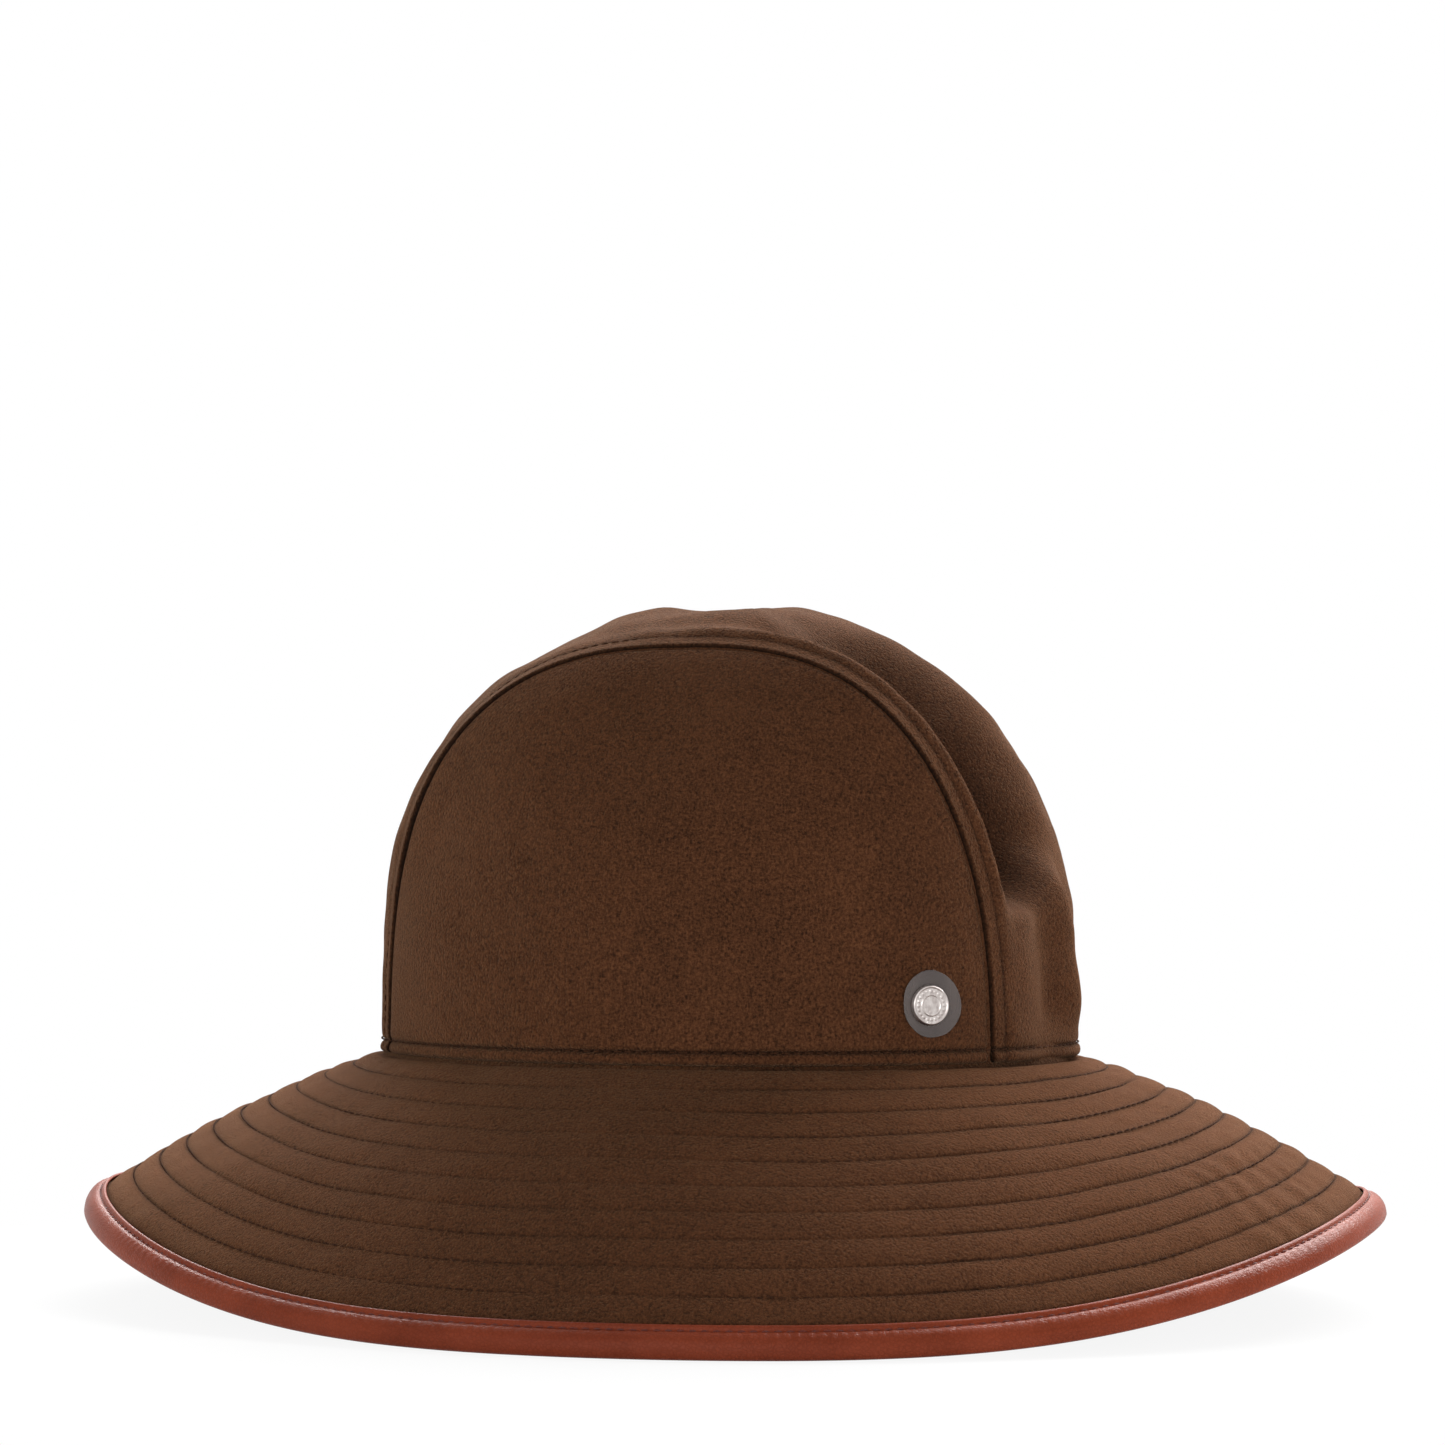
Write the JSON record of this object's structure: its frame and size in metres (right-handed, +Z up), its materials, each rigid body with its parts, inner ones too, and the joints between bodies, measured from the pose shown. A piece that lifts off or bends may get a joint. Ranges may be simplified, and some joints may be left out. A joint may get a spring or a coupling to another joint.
{
  "type": "sewn wide-brim hat",
  "caption": "Soft wool-cloth hat with a crown of side panels and a top strip, a wide row-stitched brim, a leather-bound edge and a small round stud.",
  "frame": {"origin": "centre of the hat's box, on the plane that the sides of the brim rest on", "axes": "+X along the long way of the head oval, +Y across the head, +Z up out of the top of the crown; the stud is on the -Y side, towards +X"},
  "size_m": [0.392, 0.3118, 0.2064],
  "materials": {
    "wool_cloth": "brushed felted wool, matt with a soft nap",
    "lining_cloth": "smooth woven lining, low sheen",
    "ribbon": "ribbed ribbon, matt",
    "leather": "smooth leather, satin",
    "cord": "soft cotton cord, matt",
    "stiffener": "non-woven stiffener, matt",
    "leather_thread": "tone-on-tone sewing thread",
    "thread": "tone-on-tone sewing thread",
    "tag_ribbon": "blank woven ribbon, satin",
    "clear_film": "clear, glossy",
    "stud_metal": "nickel plated, satin",
    "post_metal": "nickel plated, plain"
  },
  "bodies": {
    "hat": {"binding_bobbin_row": "leather_thread", "binding_needle_row": "leather_thread", "brim_bobbin_row_1": "thread", "brim_bobbin_row_2": "thread", "brim_bobbin_row_3": "thread", "brim_bobbin_row_4": "thread", "brim_bobbin_row_5": "thread", "brim_bobbin_row_6": "thread", "brim_bobbin_row_7": "thread", "brim_bobbin_row_8": "thread", "brim_bobbin_row_9": "thread", "brim_needle_row_1": "thread", "brim_needle_row_2": "thread", "brim_needle_row_3": "thread", "brim_needle_row_4": "thread", "brim_needle_row_5": "thread", "brim_needle_row_6": "thread", "brim_needle_row_7": "thread", "brim_needle_row_8": "thread", "brim_needle_row_9": "thread", "brim_stiffener": "stiffener", "brim_top_cloth": "wool_cloth", "brim_under_cloth": "wool_cloth", "clear_film": "clear_film", "crown_strip": "wool_cloth", "edge_binding": "leather", "edge_cord": "cord", "hem_stitch": "thread", "lining_far": "lining_cloth", "lining_near": "lining_cloth", "lining_strip": "lining_cloth", "side_panel_far": "wool_cloth", "side_panel_near": "wool_cloth", "strip_stitch_far": "thread", "strip_stitch_near": "thread", "stud_patch": "stiffener", "sweatband": "ribbon", "sweatband_stitch": "thread"},
    "stud": {"stud_backplate": "post_metal", "stud_cap": "stud_metal", "stud_post": "post_metal"},
    "tag": {"care_tag": "tag_ribbon"}
  },
  "joints": [
    {"name": "stud_turn", "type": "hinge", "parent": "hat", "child": "stud", "pos_m": [0.078, -0.05726, 0.08994], "axis": [0.6548, -0.7552, 0.0301], "continuous": true},
    {"name": "tag_flap", "type": "hinge", "parent": "hat", "child": "tag", "pos_m": [-0.09732, 0, 0.10093], "axis": [0, -1, 0], "range_deg": [0, 150]}
  ]
}
